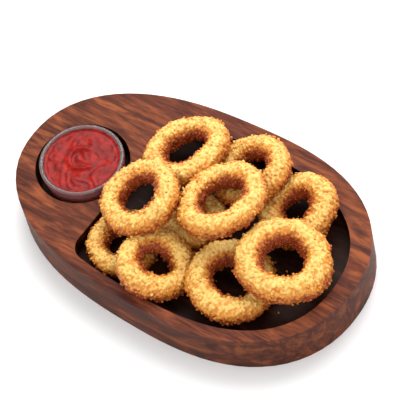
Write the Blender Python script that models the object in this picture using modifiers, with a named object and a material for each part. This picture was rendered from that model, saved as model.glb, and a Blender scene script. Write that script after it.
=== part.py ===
"""Onion rings on an egg-shaped wooden board, with a glass pot of ketchup.

The board lies on its flat underside at z = 0 and is centred on the origin. Its long axis is X, the
pot stands in a round recess near the narrow end at -X, and the rings lie heaped in a shallow pocket
that fills the wide end. All sizes are in metres.
"""

import math

import bmesh
import bpy
import numpy as np
from mathutils import Quaternion, Vector

# board outline: an egg curve, blunter than an ellipse and wider towards +X
BOARD_LENGTH = 0.300
BOARD_WIDTH = 0.1815
BOARD_HEIGHT = 0.035
EGG_SKEW = 0.075          # share by which the +X half is wider and the -X half narrower
EGG_END_POWER = 2.62      # 2 is an ellipse, more makes the ends blunter
EGG_SIDE_POWER = 2.16
BOARD_EDGE_ROUND = 0.0014
OUTLINE_STEPS = 720
OUTLINE_POINTS = 84

# pocket for the rings: follows the outline, with a straight end beside the pot
POCKET_RIM = 0.014        # mean width of the rim round the pocket
POCKET_RIM_SKEW = 0.0045  # how much wider the rim is at the back (+Y) than that mean
POCKET_END_X = -0.058
POCKET_CORNER = 0.014
POCKET_FLOOR_Z = 0.020
POCKET_FILLET = 0.004
POCKET_POINTS = 56        # points along the rim, between the two corners
CORNER_STEPS = 7

# round recess and the glass pot in it
POT_X = -0.0975
POT_Y = -0.0055
RECESS_RADIUS = 0.0376
RECESS_FLOOR_Z = 0.013
RECESS_FILLET = 0.003
GLASS_RIM_RADIUS = 0.0336
GLASS_FOOT_RADIUS = 0.0310
GLASS_TOP_Z = 0.0410
GLASS_WALL = 0.0034
GLASS_BASE = 0.0045
KETCHUP_LEVEL = 0.0026    # how far the ketchup's edge lies below the glass rim
SWIRL_HEIGHT = 0.0011
SWIRL_PITCH = 0.0105      # radial distance from one turn of the swirl to the next
POT_STEPS = 40
SWIRL_RINGS = 8

GAP = 0.0003              # clear space between pieces that touch
CONTACT = 0.0004          # the same between two rings, whose tubes are faceted

# onion rings, about where they lie before they settle:
# centre x, y and z, ring radius, tube radius, tilt in degrees, direction of the low side
RINGS = (
    (0.006, -0.005, 0.0285, 0.0185, 0.0077, 0.0, 0.0),
    (-0.0275, -0.0465, 0.0285, 0.0205, 0.0077, 0.0, 0.0),
    (0.0745, 0.0410, 0.040, 0.0215, 0.0090, 12.0, -130.0),
    (0.0285, 0.0490, 0.041, 0.0230, 0.0086, 18.0, -125.0),
    (0.0635, -0.0380, 0.033, 0.0245, 0.0092, 7.0, 16.0),
    (-0.0260, 0.0375, 0.039, 0.0256, 0.0086, 15.0, 155.0),
    (0.0125, -0.0560, 0.038, 0.0205, 0.0085, 20.0, 12.0),
    (-0.0235, -0.0215, 0.0495, 0.0242, 0.0080, 19.0, -148.0),
    (0.0350, 0.0055, 0.0560, 0.0270, 0.0082, 18.0, 155.0),
    (0.0975, -0.0085, 0.045, 0.0255, 0.0096, 16.0, 20.0),
)
RING_OVAL = 0.035         # how far a ring is from round
RING_WAVE = 0.020         # waviness of its centre line
TUBE_UNEVEN = 0.055       # change of the tube's thickness along the ring
RING_POINTS = 28
RING_SIDES = 3            # curve resolution of the tube: 10 sides
PROBE_POINTS = 56         # points along a ring that feel for its neighbours
SINK_STEPS = 130          # rounds in which the heap sinks under its weight
SINK = 0.0002             # how far a ring sinks in a round
PUSH_STEPS = 120          # further rounds that only push touching pieces apart
HOLD = 0.1                # share of its sideways slip that friction takes back in a round of sinking
HOLD_TURN = 0.2           # the same for a ring's turn
PUSHES = 2                # times that each round goes through all the contacts

NAME = "onion_rings_board"


def clear_scene():
    for item in list(bpy.data.objects):
        bpy.data.objects.remove(item)


def new_collection(name):
    group = bpy.data.collections.new(name)
    bpy.context.scene.collection.children.link(group)
    return group


def new_material(name, colour, roughness, metallic=0.0, alpha=1.0):
    material = bpy.data.materials.new(name)
    material.use_nodes = True
    shader = material.node_tree.nodes["Principled BSDF"]
    shader.inputs["Base Color"].default_value = (*colour, 1.0)
    shader.inputs["Roughness"].default_value = roughness
    shader.inputs["Metallic"].default_value = metallic
    shader.inputs["Alpha"].default_value = alpha
    return material


def wood_material():
    return new_material("acacia_wood", (0.20, 0.075, 0.042), 0.5)


def glass_material():
    return new_material("clear_glass", (0.92, 0.92, 0.92), 0.05, alpha=0.3)


def ketchup_material():
    return new_material("ketchup", (0.42, 0.028, 0.015), 0.3)


def crust_material(index):
    return new_material(f"crust_{index:02d}", (0.72, 0.36, 0.09), 0.75)


def add_mesh_object(name, mesh, group, material=None):
    thing = bpy.data.objects.new(name, mesh)
    group.objects.link(thing)
    if material:
        mesh.materials.clear()
        mesh.materials.append(material)
    return thing


def as_mesh(curve_object, name, group, material=None):
    """Turns a curve object into a welded mesh object at the same place and removes the curve."""
    bpy.context.view_layer.update()
    evaluated = curve_object.evaluated_get(bpy.context.evaluated_depsgraph_get())
    mesh = bpy.data.meshes.new_from_object(evaluated)
    shape = bmesh.new()
    shape.from_mesh(mesh)
    bmesh.ops.remove_doubles(shape, verts=shape.verts, dist=1e-6)
    shape.to_mesh(mesh)
    shape.free()
    thing = add_mesh_object(name, mesh, group, material)
    thing.matrix_world = curve_object.matrix_world.copy()
    bpy.data.objects.remove(curve_object)
    return thing


def egg_point(turn, inset=0.0):
    """The point of the egg outline at this turn, moved inwards, and the outward direction there."""
    step = 1e-4

    def on_curve(angle):
        along = math.copysign(abs(math.cos(angle)) ** (2 / EGG_END_POWER), math.cos(angle))
        across = math.copysign(abs(math.sin(angle)) ** (2 / EGG_SIDE_POWER), math.sin(angle))
        return Vector((BOARD_LENGTH / 2 * along,
                       BOARD_WIDTH / 2 * (1 + EGG_SKEW * along) * across))

    run = on_curve(turn + step) - on_curve(turn - step)
    outward = Vector((run.y, -run.x)).normalized()
    return on_curve(turn) - inset * outward, outward


def rim_width(outward):
    return POCKET_RIM + POCKET_RIM_SKEW * outward.y


def evenly_spaced(points, count):
    """The closed outline through these points, read again at equal steps of its length."""
    loop = np.array([tuple(p) for p in points] + [tuple(points[0])])
    travel = np.concatenate([[0], np.cumsum(np.linalg.norm(np.diff(loop, axis=0), axis=1))])
    stops = np.linspace(0, travel[-1], count, endpoint=False)
    return [Vector((np.interp(s, travel, loop[:, 0]), np.interp(s, travel, loop[:, 1])))
            for s in stops]


def board_outline():
    # half a step off zero, because the curve's direction isn't defined on its axes
    turns = [2 * math.pi * (i + 0.5) / OUTLINE_STEPS for i in range(OUTLINE_STEPS)]
    return evenly_spaced([egg_point(t)[0] for t in turns], OUTLINE_POINTS)


def corner_turn(side):
    """The turn at which a corner's circle touches both the rim line and the straight end."""
    best = None
    for i in range(OUTLINE_STEPS):
        turn = side * math.pi * (i + 0.5) / OUTLINE_STEPS
        outward = egg_point(turn)[1]
        centre = egg_point(turn, rim_width(outward) + POCKET_CORNER)[0]
        miss = abs(centre.x - POCKET_END_X - POCKET_CORNER)
        if best is None or miss < best[0]:
            best = (miss, turn, centre, outward)
    return best[1:]


def pocket_outline():
    """Counter-clockwise from the front corner round the wide end to the back corner."""
    front, front_centre, front_out = corner_turn(-1)
    back, back_centre, back_out = corner_turn(1)
    points = []
    for i in range(POCKET_POINTS + 1):
        turn = front + (back - front) * i / POCKET_POINTS
        outward = egg_point(turn)[1]
        points.append(egg_point(turn, rim_width(outward))[0])
    start = math.atan2(back_out.y, back_out.x)
    for i in range(1, CORNER_STEPS + 1):
        angle = start + (math.pi - start) * i / CORNER_STEPS
        points.append(back_centre + POCKET_CORNER * Vector((math.cos(angle), math.sin(angle))))
    end = math.atan2(front_out.y, front_out.x) + 2 * math.pi
    for i in range(CORNER_STEPS):
        angle = math.pi + (end - math.pi) * i / CORNER_STEPS
        points.append(front_centre + POCKET_CORNER * Vector((math.cos(angle), math.sin(angle))))
    return points


def outline_prism(name, outline, bottom, top, group, material=None):
    """A flat outline with its faces at the heights bottom and top."""
    curve = bpy.data.curves.new(name, "CURVE")
    curve.dimensions = "2D"
    curve.fill_mode = "BOTH"
    curve.extrude = (top - bottom) / 2
    spline = curve.splines.new("POLY")
    spline.points.add(len(outline) - 1)
    for point, place in zip(spline.points, outline):
        point.co = (place.x, place.y, 0, 1)
    spline.use_cyclic_u = True
    holder = bpy.data.objects.new(name + "_outline", curve)
    group.objects.link(holder)
    holder.location.z = (top + bottom) / 2
    return as_mesh(holder, name, group, material)


def hide_cutter(cutter):
    cutter.hide_render = True
    cutter.display_type = "WIRE"


def add_edge_round(thing, width, segments):
    bevel = thing.modifiers.new("edge_round", "BEVEL")
    bevel.width = width
    bevel.segments = segments
    bevel.limit_method = "ANGLE"
    bevel.angle_limit = math.radians(50)
    return bevel


def cut(thing, cutter):
    hide_cutter(cutter)
    boolean = thing.modifiers.new("cut_" + cutter.name, "BOOLEAN")
    boolean.operation = "DIFFERENCE"
    boolean.solver = "EXACT"
    boolean.object = cutter


def make_board(parts, cutters):
    board = outline_prism("board", board_outline(), 0, BOARD_HEIGHT, parts, wood_material())
    above = 2 * BOARD_HEIGHT
    pocket = outline_prism("pocket_cutter", pocket_outline(), POCKET_FLOOR_Z, above, cutters)
    add_edge_round(pocket, POCKET_FILLET, 3)
    recess_height = above - RECESS_FLOOR_Z
    recess_shape = bmesh.new()
    bmesh.ops.create_cone(recess_shape, cap_ends=True, segments=POT_STEPS,
                          radius1=RECESS_RADIUS, radius2=RECESS_RADIUS, depth=recess_height)
    recess_mesh = bpy.data.meshes.new("recess_cutter")
    recess_shape.to_mesh(recess_mesh)
    recess_shape.free()
    recess = add_mesh_object("recess_cutter", recess_mesh, cutters)
    recess.location = (POT_X, POT_Y, RECESS_FLOOR_Z + recess_height / 2)
    add_edge_round(recess, RECESS_FILLET, 3)
    cut(board, pocket)
    cut(board, recess)
    add_edge_round(board, BOARD_EDGE_ROUND, 2)
    return board


def turned(name, profile, group, material, steps):
    """A solid turned round the pot's axis from a profile that runs down its outer side first."""
    mesh = bpy.data.meshes.new(name)
    edges = [(i, i + 1) for i in range(len(profile) - 1)]
    mesh.from_pydata([(radius, 0, height) for radius, height in profile], edges, [])
    thing = add_mesh_object(name, mesh, group, material)
    thing.location = (POT_X, POT_Y, 0)
    screw = thing.modifiers.new("turn", "SCREW")
    screw.steps = steps
    screw.render_steps = steps
    screw.use_merge_vertices = True
    screw.merge_threshold = 0.00005
    screw.use_smooth_shade = True
    return thing


def glass_inner_radius(height):
    """Inner radius of the glass wall at this height."""
    foot = RECESS_FLOOR_Z + GAP
    share = (height - foot) / (GLASS_TOP_Z - foot)
    return GLASS_FOOT_RADIUS + (GLASS_RIM_RADIUS - GLASS_FOOT_RADIUS) * share - GLASS_WALL


def make_glass(parts):
    foot = RECESS_FLOOR_Z + GAP
    inside = foot + GLASS_BASE
    lip = GLASS_WALL / 2
    lip_centre = GLASS_RIM_RADIUS - lip
    profile = []
    for i in range(7):
        angle = math.pi * (1 - i / 6)
        profile.append((lip_centre + lip * math.cos(angle),
                        GLASS_TOP_Z - lip + lip * math.sin(angle)))
    profile += [(GLASS_FOOT_RADIUS, foot + 0.0025),
                (GLASS_FOOT_RADIUS - 0.0025, foot),
                (0, foot)]
    inner = [(0, inside),
             (glass_inner_radius(inside) - 0.003, inside),
             (glass_inner_radius(inside + 0.003), inside + 0.003)]
    profile = inner + profile
    return turned("dip_glass", profile, parts, glass_material(), POT_STEPS)


def swirl(radius, turn, edge):
    """Height of the spooned swirl above the ketchup's level: a spiral ridge that dies at the edge."""
    phase = 2 * math.pi * radius / SWIRL_PITCH - turn
    fade = 1 - (radius / edge) ** 4
    return SWIRL_HEIGHT * fade * math.cos(phase)


def make_ketchup(parts):
    bottom = RECESS_FLOOR_Z + GLASS_BASE + 2 * GAP
    level = GLASS_TOP_Z - KETCHUP_LEVEL
    edge = glass_inner_radius(level) - GAP
    shape = bmesh.new()
    profile = [(edge * i / SWIRL_RINGS, level) for i in range(SWIRL_RINGS + 1)]
    profile += [(glass_inner_radius(bottom + 0.0035) - GAP, bottom + 0.0035),
                (glass_inner_radius(bottom) - 0.0032 - GAP, bottom),
                (0, bottom)]
    chain = [shape.verts.new((radius, 0, height)) for radius, height in profile]
    links = [shape.edges.new(pair) for pair in zip(chain, chain[1:])]
    bmesh.ops.spin(shape, geom=chain + links, cent=(0, 0, 0), axis=(0, 0, 1), dvec=(0, 0, 0),
                   angle=2 * math.pi, steps=POT_STEPS, use_merge=True, use_duplicate=False)
    bmesh.ops.remove_doubles(shape, verts=shape.verts, dist=1e-5)
    for vert in shape.verts:
        radius = math.hypot(vert.co.x, vert.co.y)
        if abs(vert.co.z - level) < 1e-6 and 1e-5 < radius < edge * 0.99:
            vert.co.z += swirl(radius, math.atan2(vert.co.y, vert.co.x), edge)
    bmesh.ops.recalc_face_normals(shape, faces=shape.faces)
    mesh = bpy.data.meshes.new("ketchup")
    shape.to_mesh(mesh)
    shape.free()
    mesh.shade_smooth()
    ketchup = add_mesh_object("ketchup", mesh, parts, ketchup_material())
    ketchup.location = (POT_X, POT_Y, 0)
    return ketchup


def ring_line(index, count):
    """Points and tube thickness along one ring's centre line, flat and round the origin."""
    radius, tube = RINGS[index][3:5]
    line = []
    for i in range(count):
        turn = 2 * math.pi * i / count
        stretch = (1 + RING_OVAL * math.cos(2 * turn + 1.9 * index)
                   + RING_WAVE * math.sin(3 * turn + 2.3 * index))
        thick = (1 + TUBE_UNEVEN * math.sin(2 * turn + 2.9 * index)
                 + 0.6 * TUBE_UNEVEN * math.cos(5 * turn + 1.3 * index))
        line.append((radius * stretch * math.cos(turn), radius * stretch * math.sin(turn),
                     tube * thick))
    return np.array(line)


class Ring:
    """A ring of the heap: its centre, its turn and the points along it that feel for contact."""

    def __init__(self, index):
        x, y, z, radius, _, tilt, low_side = RINGS[index]
        tilt = math.radians(tilt)
        low_side = math.radians(low_side)
        normal = Vector((math.sin(tilt) * math.cos(low_side),
                         math.sin(tilt) * math.sin(low_side), math.cos(tilt)))
        line = ring_line(index, PROBE_POINTS)
        self.centre = Vector((x, y, z))
        self.turn = Vector((0, 0, 1)).rotation_difference(normal)
        self.tube = line[:, 2]
        self.flat = np.column_stack([line[:, :2], np.zeros(len(line))])
        self.swing = 1 / radius ** 2
        self.start = self.centre.copy()
        self.start_turn = self.turn.copy()
        self.update()

    def sink(self):
        """Sinks a little, held in place by friction with what it lies on."""
        self.centre.x += HOLD * (self.start.x - self.centre.x)
        self.centre.y += HOLD * (self.start.y - self.centre.y)
        self.centre.z -= SINK
        self.turn = self.turn.slerp(self.start_turn, HOLD_TURN)
        self.update()

    def update(self):
        self.points = self.flat @ np.array(self.turn.to_matrix()).T + np.array(self.centre)

    def ease(self, point, away):
        """How readily this ring gives way to a push in this direction at one of its points."""
        lever = (point - self.centre).cross(away)
        return 1 + self.swing * lever.length_squared

    def push(self, point, away, amount):
        lever = (point - self.centre).cross(away) * self.swing * amount
        self.centre += away * amount
        self.turn = Quaternion(lever.normalized(), lever.length) @ self.turn
        self.update()


def push_apart(first, second):
    apart = first.points[:, None] - second.points[None]
    distance = np.linalg.norm(apart, axis=-1)
    gaps = distance - first.tube[:, None] - second.tube[None]
    i, j = np.unravel_index(gaps.argmin(), gaps.shape)
    overlap = CONTACT - gaps[i, j]
    if overlap <= 0:
        return
    away = Vector(apart[i, j]) / distance[i, j]
    here = Vector(first.points[i])
    there = Vector(second.points[j])
    share = overlap / (first.ease(here, away) + second.ease(there, away))
    first.push(here, away, share)
    second.push(there, away, -share)


def push_off(ring, gaps, directions):
    """Moves a ring off the floor or the wall at the point where it is closest."""
    i = gaps.argmin()
    overlap = CONTACT - gaps[i]
    if overlap <= 0:
        return
    away = Vector(directions[i])
    here = Vector(ring.points[i])
    ring.push(here, away, overlap / ring.ease(here, away))


def floor_gaps(ring):
    up = np.tile([0.0, 0.0, 1.0], (len(ring.points), 1))
    return ring.points[:, 2] - POCKET_FLOOR_Z - ring.tube, up


def wall_gaps(ring, outline):
    """Clear space to the pocket's wall and its upper edge, and the directions away from them."""
    start = np.array([tuple(p) for p in outline])
    run = np.roll(start, -1, axis=0) - start
    plan = ring.points[:, :2]
    offset = plan[:, None] - start[None]
    share = np.clip((offset * run).sum(-1) / (run * run).sum(-1), 0, 1)
    from_wall = offset - share[..., None] * run
    distance = np.linalg.norm(from_wall, axis=-1)
    nearest = distance.argmin(1)
    rows = np.arange(len(plan))
    across = from_wall[rows, nearest]
    side = (run[:, 0] * offset[..., 1] - run[:, 1] * offset[..., 0] > 0).all(1)
    inside = np.where(side, 1, -1) * distance[rows, nearest]
    inward = np.where(side, 1, -1)[:, None] * across / np.maximum(distance[rows, nearest], 1e-9)[:, None]
    above = np.maximum(ring.points[:, 2] - BOARD_HEIGHT, 0)
    beside = np.where(above > 0, np.maximum(inside, 0), inside)
    away = np.column_stack([inward * np.where(above > 0, beside, 1)[:, None], above])
    length = np.maximum(np.linalg.norm(away, axis=1), 1e-9)
    gaps = np.where(above > 0, np.hypot(above, beside), inside) - ring.tube
    return gaps, away / length[:, None]


def settle_heap():
    """Lets the heap sink into the pocket while touching rings push each other apart."""
    outline = pocket_outline()
    rings = [Ring(index) for index in range(len(RINGS))]
    for step in range(SINK_STEPS + PUSH_STEPS):
        if step < SINK_STEPS:
            for ring in rings:
                ring.sink()
        for _ in range(PUSHES):
            for i, first in enumerate(rings):
                for second in rings[:i]:
                    push_apart(first, second)
                push_off(first, *wall_gaps(first, outline))
                push_off(first, *floor_gaps(first))
    return rings


def make_ring(index, place, turn, parts):
    name = f"onion_ring_{index + 1:02d}"
    curve = bpy.data.curves.new(name, "CURVE")
    curve.dimensions = "3D"
    curve.bevel_depth = 1.0
    curve.bevel_resolution = RING_SIDES
    spline = curve.splines.new("POLY")
    line = ring_line(index, RING_POINTS)
    spline.points.add(len(line) - 1)
    for point, (x, y, tube) in zip(spline.points, line):
        point.co = (x, y, 0, 1)
        point.radius = tube
    spline.use_cyclic_u = True
    holder = bpy.data.objects.new(name + "_line", curve)
    parts.objects.link(holder)
    holder.location = place
    holder.rotation_euler = turn.to_euler()
    ring = as_mesh(holder, name, parts, crust_material(index + 1))
    ring.data.shade_smooth()
    return ring


def make_rings(parts):
    for index, ring in enumerate(settle_heap()):
        make_ring(index, ring.centre, ring.turn, parts)


def main():
    clear_scene()
    parts = new_collection(NAME)
    cutters = new_collection("cutters")
    make_board(parts, cutters)
    make_glass(parts)
    make_ketchup(parts)
    make_rings(parts)


main()
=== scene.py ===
import math
import random

import bmesh
import bpy
import numpy as np
from mathutils import Matrix, Vector, noise


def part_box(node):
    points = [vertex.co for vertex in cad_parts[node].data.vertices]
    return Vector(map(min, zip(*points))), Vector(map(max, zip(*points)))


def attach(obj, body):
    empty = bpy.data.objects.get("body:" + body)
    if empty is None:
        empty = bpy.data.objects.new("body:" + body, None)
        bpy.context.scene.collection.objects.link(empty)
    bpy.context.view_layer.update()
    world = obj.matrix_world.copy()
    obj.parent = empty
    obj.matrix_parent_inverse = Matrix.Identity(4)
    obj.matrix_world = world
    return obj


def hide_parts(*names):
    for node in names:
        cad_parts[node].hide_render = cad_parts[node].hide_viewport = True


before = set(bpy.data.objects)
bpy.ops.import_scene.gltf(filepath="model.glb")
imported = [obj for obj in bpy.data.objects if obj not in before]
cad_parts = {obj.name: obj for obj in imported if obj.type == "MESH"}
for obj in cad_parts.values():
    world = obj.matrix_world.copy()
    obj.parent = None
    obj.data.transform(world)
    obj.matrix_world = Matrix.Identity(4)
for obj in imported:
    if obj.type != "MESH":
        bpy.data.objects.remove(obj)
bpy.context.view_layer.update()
noise.seed_set(11)        # otherwise the noise differs from run to run


# shader arithmetic and small helpers

class Wire:
    def __init__(self, tree, socket):
        self.tree = tree
        self.socket = socket

    def __add__(self, other):
        return mathNode(self.tree, "ADD", self, other)

    def __sub__(self, other):
        return mathNode(self.tree, "SUBTRACT", self, other)

    def __mul__(self, other):
        return mathNode(self.tree, "MULTIPLY", self, other)

    __radd__ = __add__
    __rmul__ = __mul__


def feed(tree, target, value):
    if isinstance(value, Wire):
        tree.links.new(value.socket, target)
    else:
        target.default_value = value


def mathNode(tree, operation, first, second):
    node = tree.nodes.new("ShaderNodeMath")
    node.operation = operation
    feed(tree, node.inputs[0], first)
    feed(tree, node.inputs[1], second)
    return Wire(tree, node.outputs[0])


class Shader:
    def __init__(self, name):
        self.material = bpy.data.materials.new(name)
        self.material.use_nodes = True
        self.tree = self.material.node_tree
        self.surface = self.tree.nodes["Principled BSDF"]

    def node(self, kind, settings, values, output=0):
        made = self.tree.nodes.new("ShaderNode" + kind)
        for key, value in settings.items():
            setattr(made, key, value)
        for key, value in values.items():
            feed(self.tree, made.inputs[key], value)
        return Wire(self.tree, made.outputs[output])

    def place(self, stretch=(1, 1, 1)):
        point = self.node("TexCoord", {}, {}, "Object")
        return self.node("Mapping", {}, {"Vector": point, "Scale": stretch})

    def cloud(self, scale, detail=2.0, rough=0.5, where=None, bend=0.0):
        values = {"Vector": where or self.place(), "Scale": scale, "Detail": detail,
                  "Roughness": rough, "Distortion": bend}
        return self.node("TexNoise", {}, values)

    def ramp(self, value, low, high, start=0.0, end=1.0):
        values = {0: value, 1: low, 2: high, 3: start, 4: end}
        return self.node("MapRange", {"interpolation_type": "SMOOTHSTEP"}, values)

    def mix(self, factor, first, second, blend="MIX"):
        settings = {"data_type": "RGBA", "blend_type": blend}
        return self.node("Mix", settings, {0: factor, 6: first, 7: second}, 2)

    def attribute(self, name):
        return self.node("Attribute", {"attribute_name": name}, {}, "Fac")

    def bump(self, height, strength, distance):
        values = {"Height": height, "Strength": strength, "Distance": distance}
        return self.node("Bump", {}, values)

    def finish(self, **inputs):
        for key, value in inputs.items():
            words = key.replace("_", " ").title().replace("Ior", "IOR")
            feed(self.tree, self.surface.inputs[words], value)
        return self.material


def colour(red, green, blue):
    # an sRGB colour of 0 to 255 as the linear colour that shaders read
    def linear(value):
        share = value / 255
        return share / 12.92 if share < 0.04045 else ((share + 0.055) / 1.055) ** 2.4
    return (linear(red), linear(green), linear(blue), 1.0)


def addPiece(name, mesh, material, slot, *nodes):
    piece = bpy.data.objects.new(name, mesh)
    bpy.context.scene.collection.objects.link(piece)
    if material:
        mesh.materials.clear()
        mesh.materials.append(material)
    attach(piece, "root")
    if nodes:
        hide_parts(*nodes)
    return piece


def meshFrom(shape, name):
    mesh = bpy.data.meshes.new(name)
    bmesh.ops.recalc_face_normals(shape, faces=shape.faces)
    shape.to_mesh(mesh)
    shape.free()
    mesh.shade_smooth()
    return mesh


def mergedCopy(node, name):
    shape = bmesh.new()
    shape.from_mesh(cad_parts[node].data)
    bmesh.ops.remove_doubles(shape, verts=shape.verts, dist=1e-5)
    return meshFrom(shape, name)


def turnedShape(profile, steps):
    # a closed solid turned round the z axis from a profile whose ends lie on it
    shape = bmesh.new()
    chain = [shape.verts.new((radius, 0, height)) for radius, height in profile]
    links = [shape.edges.new(pair) for pair in zip(chain, chain[1:])]
    bmesh.ops.spin(shape, geom=chain + links, cent=(0, 0, 0), axis=(0, 0, 1), dvec=(0, 0, 0),
                   angle=2 * math.pi, steps=steps, use_merge=True, use_duplicate=False)
    bmesh.ops.remove_doubles(shape, verts=shape.verts, dist=2e-6)
    return shape


def smoothStep(value, low, high):
    share = np.clip((value - low) / (high - low), 0, 1)
    return share * share * (3 - 2 * share)


# places read from the frame

boardLow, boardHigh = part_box("board")
glassLow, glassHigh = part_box("dip_glass")
boardTop = boardHigh.z
potCentre = (glassLow + glassHigh) / 2
glassRadius = (glassHigh.x - glassLow.x) / 2
ringNodes = sorted(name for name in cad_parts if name.startswith("onion_ring"))


# wooden board

wood = {
    "dark": (66, 28, 18),
    "middle": (122, 64, 42),
    "golden": (164, 92, 50),
    "hollowPaintedShade": 0.16,      # painted shade: how much darker the pocket and the recess are
    "edgeHighlight": 1.15,        # painted highlight: how much lighter the rounded top edges are
    "sidePaintedShade": 0.68,        # painted shade: how much darker the outer side is
    "roughness": 0.52,
    "recessRadius": 0.0385,
    "edgeRound": 0.0015,
}


def woodMaterial(name, paintedLight):
    shader = Shader(name)
    streaks = shader.cloud(1.0, 4.0, 0.6, shader.place((34, 250, 170)), 1.0)
    bands = shader.cloud(1.0, 3.0, 0.55, shader.place((13, 62, 48)), 1.6)
    fine = shader.cloud(1.0, 3.0, 0.7, shader.place((170, 1300, 800)))
    pores = shader.ramp(fine, 0.54, 0.68)
    tone = shader.ramp(streaks * 0.55 + bands * 0.45, 0.34, 0.62)
    glow = shader.ramp(bands * 0.65 + streaks * 0.35, 0.48, 0.70, 0.0, 0.8)
    base = shader.mix(tone, colour(*wood["dark"]), colour(*wood["middle"]))
    base = shader.mix(glow, base, colour(*wood["golden"]))
    base = shader.mix(pores * 0.45, base, colour(*wood["dark"]))
    # a tint of painted light: below 1 for painted shade, above 1 for a painted highlight, 1 for none
    tint = (paintedLight, paintedLight * 0.97, paintedLight * 0.95, 1.0)
    base = shader.mix(1.0, base, tint, "MULTIPLY")
    gloss = shader.ramp(streaks, 0.3, 0.7, wood["roughness"] - 0.08, wood["roughness"] + 0.12)
    relief = shader.bump(fine * 0.5 + streaks * 0.5, 0.25, 0.0004)
    return shader.finish(base_color=base, roughness=gloss, normal=relief, specular_ior_level=0.12)


def boardPart(face):
    # 0 for the top and the underside, 1 inside the pocket and the recess with painted shade, 2 for
    # the edges with a painted highlight, 3 outside with painted shade
    centre = face.calc_center_median()
    inPot = (centre - potCentre).xy.length < wood["recessRadius"]
    inward = face.normal.xy.dot(centre.xy) < 0
    if abs(face.normal.z) > 0.97 and (centre.z > boardTop - 0.0001 or centre.z < 0.0001):
        return 0
    if centre.z > boardTop - wood["edgeRound"]:
        return 2
    return 1 if inPot or inward or face.normal.z > 0.1 else 3


def makeBoard():
    shape = bmesh.new()
    shape.from_mesh(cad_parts["board"].data)
    bmesh.ops.remove_doubles(shape, verts=shape.verts, dist=1e-5)
    shape.faces.ensure_lookup_table()
    for face in shape.faces:
        face.material_index = boardPart(face)
    mesh = meshFrom(shape, "servingBoard")
    mesh.set_sharp_from_angle(angle=math.radians(48))
    piece = addPiece("servingBoard", mesh, None, "wood", "board")
    mesh.materials.append(woodMaterial("oiledWood", 1.0))
    # the pocket and the recess get a darker tint, a painted shade
    mesh.materials.append(woodMaterial("hollowPaintedShadeWood", wood["hollowPaintedShade"]))
    # the rounded top edges get a lighter tint, a painted highlight
    mesh.materials.append(woodMaterial("edgeHighlightWood", wood["edgeHighlight"]))
    # the outer side gets a darker tint, a painted shade
    mesh.materials.append(woodMaterial("sidePaintedShadeWood", wood["sidePaintedShade"]))
    even = piece.modifiers.new("evenNormals", "WEIGHTED_NORMAL")
    even.keep_sharp = True


makeBoard()
print("board made")


# glass pot

pot = {
    "wall": 0.0034,
    "base": 0.0045,
    "footRadius": 0.0310,
    "insideBend": 0.003,      # rounding between the base and the wall, inside
    "footBend": 0.0025,
    "steps": 128,
}


def glassInnerRadius(height):
    share = (height - glassLow.z) / (glassHigh.z - glassLow.z)
    return pot["footRadius"] + (glassRadius - pot["footRadius"]) * share - pot["wall"]


def glassMaterial():
    shader = Shader("glassWithPaintedRimHighlight")
    # the pinkish-white base colour, left a tenth diffuse, is a painted highlight that lightens the
    # rim
    return shader.finish(base_color=(0.95, 0.80, 0.78, 1), roughness=0.05, ior=1.5,
                         transmission_weight=0.9)


def makeGlass():
    lip = pot["wall"] / 2
    inside = glassLow.z + pot["base"]
    bend = pot["insideBend"]
    foot = pot["footBend"]
    profile = [(0, inside), (glassInnerRadius(inside) - bend, inside)]
    for i in range(5):
        turn = math.pi / 2 * i / 4
        profile.append((glassInnerRadius(inside + bend) - bend + bend * math.sin(turn),
                        inside + bend - bend * math.cos(turn)))
    for i in range(13):
        turn = math.pi * (1 - i / 12)
        profile.append((glassRadius - lip + lip * math.cos(turn),
                        glassHigh.z - lip + lip * math.sin(turn)))
    for i in range(5):
        turn = math.pi / 2 * i / 4
        profile.append((pot["footRadius"] - foot + foot * math.cos(turn),
                        glassLow.z + foot - foot * math.sin(turn)))
    profile.append((0, glassLow.z))
    mesh = meshFrom(turnedShape(profile, pot["steps"]), "dipGlass")
    mesh.transform(Matrix.Translation((potCentre.x, potCentre.y, 0)))
    addPiece("dipGlass", mesh, glassMaterial(), "clear_glass", "dip_glass")


makeGlass()
print("glass made")


# ketchup

ketchup = {
    "red": (166, 22, 8),
    "deep": (120, 10, 4),
    "level": 0.0026,          # below the glass rim
    "intoWall": 0.0003,       # how far the sauce reaches into the glass
    "openSide": 35.0,         # direction of the curl's open side, in degrees
    "curlRadius": 0.0092,
    "curlHeight": 0.0012,
    "troughInset": 0.0036,    # how far inside the curl its trough lies
    "foldHeight": 0.00028,
    "foldSize": 0.0095,
    "rings": 52,
    "steps": 160,
}


def curlHeight(x, y):
    # a spooned curl open to one side, and small folds
    radius = math.hypot(x, y)
    turn = math.degrees(math.atan2(y, x)) - ketchup["openSide"]
    turn = turn % 360
    ridge = ketchup["curlRadius"] * (1 + 0.28 * math.sin(math.radians(turn)) + 0.15 * turn / 360)
    span = smoothStep(turn, 35, 80) * (1 - smoothStep(turn, 300, 345))
    height = ketchup["curlHeight"] * span * math.exp(-((radius - ridge) / 0.0019) ** 2)
    trough = math.exp(-((radius - ridge + ketchup["troughInset"]) / 0.002) ** 2)
    height -= 0.2 * ketchup["curlHeight"] * span * trough
    spot = Vector((x, y, 0)) / ketchup["foldSize"]
    folds = noise.noise(spot + noise.noise_vector(spot * 0.6) * 1.2)
    height += ketchup["foldHeight"] * (1 - 2.2 * abs(folds))
    height += 0.00008 * noise.noise(spot * 3.1)
    return float(height)


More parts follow.
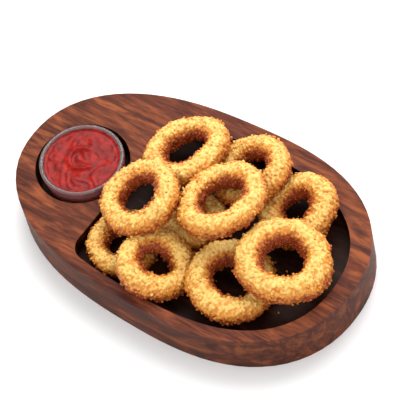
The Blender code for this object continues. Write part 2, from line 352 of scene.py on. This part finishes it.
def ketchupMaterial():
    shader = Shader("ketchup")
    patches = shader.cloud(160, 3.0, 0.6)
    depth = shader.ramp(patches, 0.35, 0.7)
    base = shader.mix(depth, colour(*ketchup["deep"]), colour(*ketchup["red"]))
    gloss = shader.ramp(shader.cloud(260, 2.0), 0.3, 0.7, 0.12, 0.26)
    relief = shader.bump(shader.cloud(700, 2.0, 0.5), 0.06, 0.0003)
    return shader.finish(base_color=base, roughness=gloss, normal=relief, ior=1.4,
                         subsurface_weight=0.15, subsurface_scale=0.002,
                         specular_ior_level=0.2)


def makeKetchup():
    level = glassHigh.z - ketchup["level"]
    floor = glassLow.z + pot["base"] - 0.0002
    edge = glassInnerRadius(level) + ketchup["intoWall"]
    rings = ketchup["rings"]
    profile = [(edge * i / rings, level) for i in range(rings + 1)]
    bend = pot["insideBend"]
    corner = glassInnerRadius(floor + bend) + ketchup["intoWall"]
    for i in range(6):
        turn = math.pi / 2 * i / 5
        profile.append((corner - bend + bend * math.cos(turn),
                        floor + bend - bend * math.sin(turn)))
    profile.append((0, floor))
    shape = turnedShape(profile, ketchup["steps"])
    for vert in shape.verts:
        radius = math.hypot(vert.co.x, vert.co.y)
        if abs(vert.co.z - level) < 1e-6:
            fade = 1 - smoothStep(radius, edge - 0.004, edge)
            rise = 0.0006 * smoothStep(radius, edge - 0.0022, edge)
            vert.co.z += float(fade) * curlHeight(vert.co.x, vert.co.y) + float(rise)
    mesh = meshFrom(shape, "ketchupFill")
    mesh.transform(Matrix.Translation((potCentre.x, potCentre.y, 0)))
    addPiece("ketchupFill", mesh, ketchupMaterial(), "ketchup", "ketchup")


makeKetchup()
print("ketchup made")


# onion rings

crust = {
    "cream": (244, 206, 114),
    "golden": (218, 140, 44),
    "deep": (152, 62, 10),
    "detail": 3,              # subdivision level of the ring's surface
    "swell": 0.0011,
    "lumpSize": 0.0085,
    "lumpHeight": 0.0015,
    "cragSize": 0.0036,
    "cragHeight": 0.0008,
    "grainSize": 0.0023,
    "grainHeight": 0.0015,
    "roughness": 0.55,
    "crumbsPerRing": 800,
    "crumbSize": 0.00105,
    "fleckCount": 46,
    "looseCount": 70,
    "pocketFloor": 0.020,
}


def crustMaterial():
    shader = Shader("friedCrust")
    toastAndPaintedLight = shader.attribute("toastAndPaintedLight")
    patches = shader.cloud(120, 3.0, 0.6)
    specks = shader.cloud(900, 2.0, 0.6)
    # the toast amount carries painted shade and a paler lit top, with random browning patches on top
    # of it
    amount = toastAndPaintedLight + (patches - 0.5) * 0.55 + (specks - 0.5) * 0.45
    light = shader.ramp(amount, 0.12, 0.52)
    dark = shader.ramp(amount, 0.50, 1.0)
    base = shader.mix(light, colour(*crust["cream"]), colour(*crust["golden"]))
    base = shader.mix(dark, base, colour(*crust["deep"]))
    gloss = shader.ramp(specks, 0.3, 0.7, crust["roughness"] - 0.12, crust["roughness"] + 0.15)
    relief = shader.bump(shader.cloud(1500, 3.0, 0.65), 0.35, 0.0003)
    return shader.finish(base_color=base, roughness=gloss, normal=relief,
                         subsurface_weight=0.12, subsurface_scale=0.002)


def smoothRing(node):
    # the CAD ring with a finely divided, rounded surface
    holder = bpy.data.objects.new("ringHolder", mergedCopy(node, "ringHolder"))
    bpy.context.scene.collection.objects.link(holder)
    rounding = holder.modifiers.new("rounding", "SUBSURF")
    rounding.levels = crust["detail"]
    rounding.render_levels = crust["detail"]
    bpy.context.view_layer.update()
    evaluated = holder.evaluated_get(bpy.context.evaluated_depsgraph_get())
    mesh = bpy.data.meshes.new_from_object(evaluated)
    bpy.data.objects.remove(holder)
    return mesh


def readVectors(mesh, what, key):
    values = np.zeros(len(what) * 3, np.float32)
    what.foreach_get(key, values)
    return values.reshape(-1, 3)


def crustRelief(point, seed):
    # height of the crust above the batter and how deep the point lies between crumbs
    spot = Vector(point) + Vector((seed * 0.37, seed * 0.19, seed * 0.53))
    lump = noise.noise(spot / crust["lumpSize"])
    crag = noise.noise(spot / crust["cragSize"])
    near = noise.voronoi(spot / crust["grainSize"])[0]
    small = noise.voronoi(spot * 1.9 / crust["grainSize"])[0]
    grain = 1 - min(1.0, near[0] * near[0] * 1.6)
    tiny = 1 - min(1.0, small[0] * small[0] * 1.6)
    rough = 0.45 + 0.55 * max(0.0, min(1.0, 0.5 + 1.4 * crag))
    height = (crust["lumpHeight"] * lump + crust["cragHeight"] * crag
              + crust["grainHeight"] * rough * (grain - 0.55)
              + 0.35 * crust["grainHeight"] * (tiny - 0.5))
    return height, 1 - 0.7 * grain - 0.3 * tiny


def makeRing(node, seed, material):
    mesh = smoothRing(node)
    points = readVectors(mesh, mesh.vertices, "co")
    normals = readVectors(mesh, mesh.vertex_normals, "vector")
    centre = points.mean(axis=0)
    toHole = centre[:2] - points[:, :2]
    toHole /= np.linalg.norm(toHole, axis=1)[:, None]
    inner = (normals[:, :2] * toHole).sum(axis=1)
    relief = np.array([crustRelief(point, seed) for point in points.tolist()])
    moved = points + normals * (relief[:, :1] + crust["swell"])
    mesh.vertices.foreach_set("co", moved.astype(np.float32).ravel())
    # painted light: darker inside the hole, below and between the grains as painted shade, paler on
    # top as a painted highlight
    toastAndPaintedLight = (0.50 + 0.44 * smoothStep(inner, 0.2, 0.95)
             + 0.46 * smoothStep(-normals[:, 2], -0.72, 0.25)
             - 0.24 * smoothStep(normals[:, 2], 0.45, 1.0)
             + 0.5 * (relief[:, 1] - 0.5))
    layer = mesh.attributes.new("toastAndPaintedLight", "FLOAT", "POINT")
    layer.data.foreach_set("value", toastAndPaintedLight.astype(np.float32))
    mesh.shade_smooth()
    mesh.update()
    addPiece("onionRing" + node[-2:], mesh, material, "crust", node)
    return moved, normals, toastAndPaintedLight


def crumbTemplate():
    shape = bmesh.new()
    bmesh.ops.create_icosphere(shape, subdivisions=1, radius=1.0)
    verts = np.array([tuple(v.co) for v in shape.verts])
    faces = [[v.index for v in face.verts] for face in shape.faces]
    shape.free()
    return verts, faces


def scatter(name, sites, sizes, toastsAndPaintedLight, material, flat=1.0):
    # one mesh of small uneven grains, each turned its own way
    template, faces = crumbTemplate()
    rng = random.Random(name)
    verts = []
    polygons = []
    values = []
    for site, size, toastAndPaintedLight in zip(sites, sizes, toastsAndPaintedLight):
        angle = rng.uniform(0, 6.28)
        axis = Vector((rng.gauss(0, 1), rng.gauss(0, 1), rng.gauss(0, 1)))
        turn = Matrix.Rotation(angle, 3, axis)
        shape = np.array([rng.uniform(0.75, 1.3), rng.uniform(0.7, 1.1),
                          flat * rng.uniform(0.6, 1.0)])
        uneven = np.array([rng.uniform(0.8, 1.25) for _ in template])[:, None]
        grain = (template * uneven * shape * size) @ np.array(turn).T + site
        start = len(verts)
        verts += grain.tolist()
        polygons += [[index + start for index in face] for face in faces]
        values += [toastAndPaintedLight] * len(template)
    mesh = bpy.data.meshes.new(name)
    mesh.from_pydata(verts, [], polygons)
    mesh.shade_smooth()
    layer = mesh.attributes.new("toastAndPaintedLight", "FLOAT", "POINT")
    layer.data.foreach_set("value", np.array(values, np.float32))
    addPiece(name, mesh, material, "crust")


def makeCrumbs(surfaces, material):
    rng = np.random.default_rng(7)
    sites, sizes, toastsAndPaintedLight = [], [], []
    for points, normals, toastAndPaintedLight in surfaces:
        weight = 0.35 + smoothStep(-normals[:, 2], -0.85, 0.4)
        picks = rng.choice(len(points), crust["crumbsPerRing"], p=weight / weight.sum())
        size = crust["crumbSize"] * rng.uniform(0.6, 1.35, len(picks))
        sites += (points[picks] + normals[picks] * size[:, None] * 0.25).tolist()
        sizes += size.tolist()
        # each crumb takes the painted shade of its place on the ring, with some random browning
        toastsAndPaintedLight += (toastAndPaintedLight[picks] + rng.uniform(-0.2, 0.2, len(picks))).tolist()
    scatter("crustCrumbs", np.array(sites), sizes, toastsAndPaintedLight, material)


def makeFlecks(surfaces):
    shader = Shader("herbFlecks")
    tone = shader.ramp(shader.cloud(500), 0.4, 0.6)
    green = shader.mix(tone, colour(38, 34, 18), colour(74, 76, 30))
    material = shader.finish(base_color=green, roughness=0.7)
    rng = np.random.default_rng(23)
    sites, sizes = [], []
    for number in range(crust["fleckCount"]):
        points, normals, toastAndPaintedLight = surfaces[number % len(surfaces)]
        upper = np.flatnonzero(normals[:, 2] > 0.35)
        pick = rng.choice(upper)
        sites.append(points[pick] + normals[pick] * 0.0002)
        sizes.append(rng.uniform(0.0003, 0.00065))
    scatter("herbFlecks", np.array(sites), sizes, [0.5] * len(sites), material, 0.4)


def makeLoose(material):
    # within an ellipse well inside the pocket's walls
    rng = np.random.default_rng(5)
    sites, sizes = [], []
    while len(sites) < crust["looseCount"]:
        x, y = rng.uniform(-0.045, 0.125), rng.uniform(-0.066, 0.060)
        if (x / 0.135) ** 2 + (y / 0.072) ** 2 < 0.9:
            size = crust["crumbSize"] * rng.uniform(0.5, 1.4)
            sites.append((x, y, crust["pocketFloor"] + size * 0.7))
            sizes.append(size)
    scatter("looseCrumbs", np.array(sites), sizes, rng.uniform(0.3, 0.8, len(sites)), material)


crustLook = crustMaterial()
ringSurfaces = [makeRing(node, seed + 1, crustLook) for seed, node in enumerate(ringNodes)]
print("rings made")
makeCrumbs(ringSurfaces, crustLook)
makeFlecks(ringSurfaces)
makeLoose(crustLook)
print("crumbs made")


# floor, lights and camera

studio = {
    "floorColour": (254, 254, 254),
    "world": 1.0,
    "keyPlace": (-0.35, 0.95, 1.35),
    "keySize": 1.5,
    "keyPower": 22.0,
    "fillPlace": (0.9, -0.9, 1.1),
    "fillSize": 1.4,
    "fillPower": 2.0,
}

view = {
    "lens": 225.0,
    "distance": 1.9456,
    "azimuth": 47.593,
    "elevation": 53.915,
    "roll": -14.855,
    "target": (-0.01562, 0.02893, 0.0),
}


def addLight(name, place, size, power):
    lamp = bpy.data.lights.new(name, "AREA")
    lamp.shape = "DISK"
    lamp.size = size
    lamp.energy = power
    holder = bpy.data.objects.new(name, lamp)
    bpy.context.scene.collection.objects.link(holder)
    holder.location = place
    holder.rotation_euler = Vector(place).to_track_quat("Z", "Y").to_euler()


def addFloor():
    shader = Shader("paleFloor")
    tone = shader.ramp(shader.cloud(30, 2.0), 0.3, 0.7, 0.60, 0.66)
    shader.finish(base_color=colour(*studio["floorColour"]), roughness=tone)
    shape = bmesh.new()
    bmesh.ops.create_grid(shape, x_segments=1, y_segments=1, size=4.0)
    mesh = meshFrom(shape, "floor")
    mesh.transform(Matrix.Translation((0, 0, -0.0002)))
    floor = bpy.data.objects.new("floor", mesh)
    bpy.context.scene.collection.objects.link(floor)
    mesh.materials.append(shader.material)


def addWorld():
    world = bpy.data.worlds.new("softStudio")
    world.use_nodes = True
    backdrop = world.node_tree.nodes["Background"]
    backdrop.inputs["Color"].default_value = (1, 1, 1, 1)
    backdrop.inputs["Strength"].default_value = studio["world"]
    bpy.context.scene.world = world


def addCamera():
    azimuth = math.radians(view["azimuth"])
    elevation = math.radians(view["elevation"])
    roll = math.radians(view["roll"])
    back = Vector((math.sin(azimuth) * math.cos(elevation),
                   -math.cos(azimuth) * math.cos(elevation), math.sin(elevation)))
    level = Vector((math.cos(azimuth), math.sin(azimuth), 0))
    steep = back.cross(level)
    right = level * math.cos(roll) + steep * math.sin(roll)
    upright = steep * math.cos(roll) - level * math.sin(roll)
    lens = bpy.data.cameras.new("camera")
    lens.lens = view["lens"]
    lens.clip_end = 20.0
    camera = bpy.data.objects.new("camera", lens)
    bpy.context.scene.collection.objects.link(camera)
    turned = Matrix((right, upright, back)).transposed().to_4x4()
    place = Vector(view["target"]) + back * view["distance"]
    camera.matrix_world = Matrix.Translation(place) @ turned
    bpy.context.scene.camera = camera


addFloor()
addWorld()
addLight("keyLight", studio["keyPlace"], studio["keySize"], studio["keyPower"])
addLight("fillLight", studio["fillPlace"], studio["fillSize"], studio["fillPower"])
addCamera()
bpy.context.scene.view_settings.view_transform = "Standard"
print("studio made")
